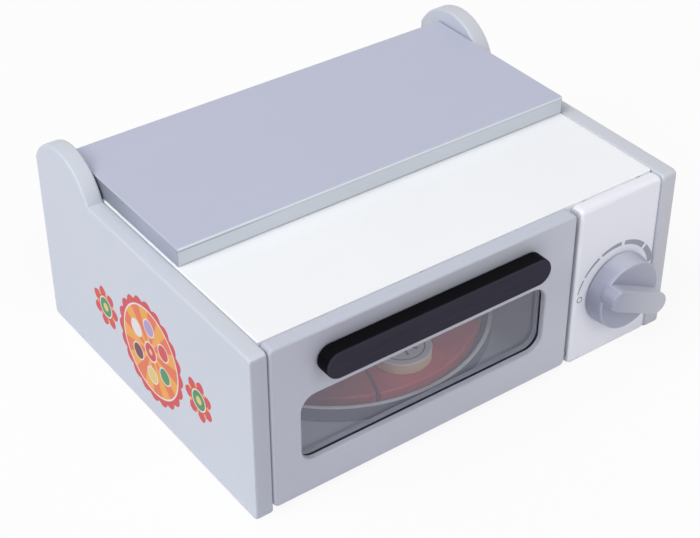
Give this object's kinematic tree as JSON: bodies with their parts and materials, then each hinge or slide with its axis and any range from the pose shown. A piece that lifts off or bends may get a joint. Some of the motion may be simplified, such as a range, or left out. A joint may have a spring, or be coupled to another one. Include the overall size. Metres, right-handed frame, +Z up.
{
  "type": "toy oven",
  "caption": "Wooden toy oven with a windowed drop-down door, a turning knob with a dial, a hinged lid over the top and a play pizza on a tray inside.",
  "frame": {"origin": "centre of the cabinet's footprint, on the floor under the base board", "axes": "+X right along the front, +Y from the door to the back, +Z up"},
  "size_m": [0.255, 0.2156, 0.115],
  "materials": {
    "grey_paint": "satin",
    "white_paint": "satin",
    "lilac_paint": "satin",
    "knob_paint": "satin",
    "black_paint": "satin",
    "bare_wood": "matte",
    "back_board": "matte",
    "clear_pane": "gloss",
    "steel": "satin",
    "tomato_paint": "satin",
    "tray_paint": "satin"
  },
  "bodies": {
    "cabinet": {"left_side_panel": "grey_paint", "right_side_panel": "grey_paint", "base_panel": "grey_paint", "top_panel": "white_paint", "control_panel": "white_paint", "back_panel": "back_board", "frame_dowel_1": "bare_wood", "frame_dowel_2": "bare_wood", "frame_dowel_3": "bare_wood", "frame_dowel_4": "bare_wood", "frame_dowel_5": "bare_wood", "frame_dowel_6": "bare_wood", "frame_dowel_7": "bare_wood", "frame_dowel_8": "bare_wood", "control_dowel_1": "bare_wood", "control_dowel_2": "bare_wood", "control_dowel_3": "bare_wood", "control_dowel_4": "bare_wood", "back_screw_1": "steel", "back_screw_2": "steel", "back_screw_3": "steel", "back_screw_4": "steel", "catch_magnet": "steel", "lid_pin_left": "steel", "lid_pin_right": "steel", "pizza_tray": "tray_paint", "pizza_slice_1": "tomato_paint", "pizza_slice_2": "tomato_paint", "pizza_slice_3": "tomato_paint", "pizza_slice_4": "tomato_paint", "pizza_topping_1": "bare_wood", "pizza_topping_2": "bare_wood", "pizza_topping_3": "bare_wood", "pizza_topping_4": "bare_wood"},
    "door": {"door_frame": "grey_paint", "door_window": "clear_pane", "pane_retainer": "grey_paint", "door_handle": "black_paint", "handle_screw_left": "steel", "handle_screw_right": "steel", "door_pin_left": "steel", "door_pin_right": "steel", "door_striker": "steel", "pane_screw_1": "steel", "pane_screw_2": "steel", "pane_screw_3": "steel", "pane_screw_4": "steel"},
    "knob": {"knob": "knob_paint", "knob_screw": "steel", "knob_washer": "steel"},
    "lid": {"lid_board": "lilac_paint"}
  },
  "joints": [
    {"name": "door_hinge", "type": "hinge", "parent": "cabinet", "child": "door", "pos_m": [0, -0.0944, 0.007], "axis": [1, 0, 0], "range_deg": [0, 84]},
    {"name": "lid_hinge", "type": "hinge", "parent": "cabinet", "child": "lid", "pos_m": [0, 0.0782, 0.1014], "axis": [-1, 0, 0], "range_deg": [0, 100]},
    {"name": "knob_turn", "type": "hinge", "parent": "cabinet", "child": "knob", "pos_m": [0.0915, -0.0985, 0.04], "axis": [0, -1, 0], "continuous": true}
  ]
}
